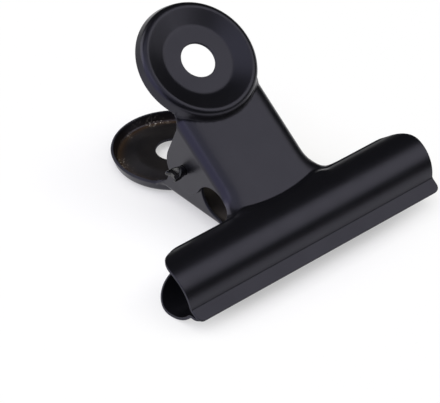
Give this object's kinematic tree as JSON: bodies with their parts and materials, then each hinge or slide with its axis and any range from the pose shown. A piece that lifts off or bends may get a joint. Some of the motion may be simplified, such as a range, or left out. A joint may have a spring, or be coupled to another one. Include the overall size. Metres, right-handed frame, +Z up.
{
  "type": "bulldog clip",
  "caption": "Sprung steel paper clip with a long rolled jaw and round dished thumb discs, pinned through folded ears and held shut by a torsion spring.",
  "frame": {"origin": "middle of the footprint, on the surface that the clip lies on", "axes": "+X along the jaw, +Y from the lips towards the thumb discs, +Z up from the surface that the clip lies on"},
  "size_m": [0.077, 0.0708, 0.0441],
  "materials": {
    "black_enamel": "semi-matte black stoved enamel on pressed steel",
    "black_wire": "black enamelled wire, pinched ends",
    "spring_steel": "drawn spring wire, oiled"
  },
  "bodies": {
    "lower": {"lower_plate": "black_enamel", "hinge_pin": "black_wire", "torsion_spring": "spring_steel"},
    "upper": {"upper_plate": "black_enamel"}
  },
  "joints": [
    {"name": "jaw_hinge", "type": "hinge", "parent": "lower", "child": "upper", "pos_m": [0, 0.00056, 0.01434], "axis": [-1, 0, 0], "range_deg": [0, 60], "stiffness_Nm_per_rad": 0.25, "springref_deg": -51.57, "deforming": ["torsion_spring"]}
  ]
}
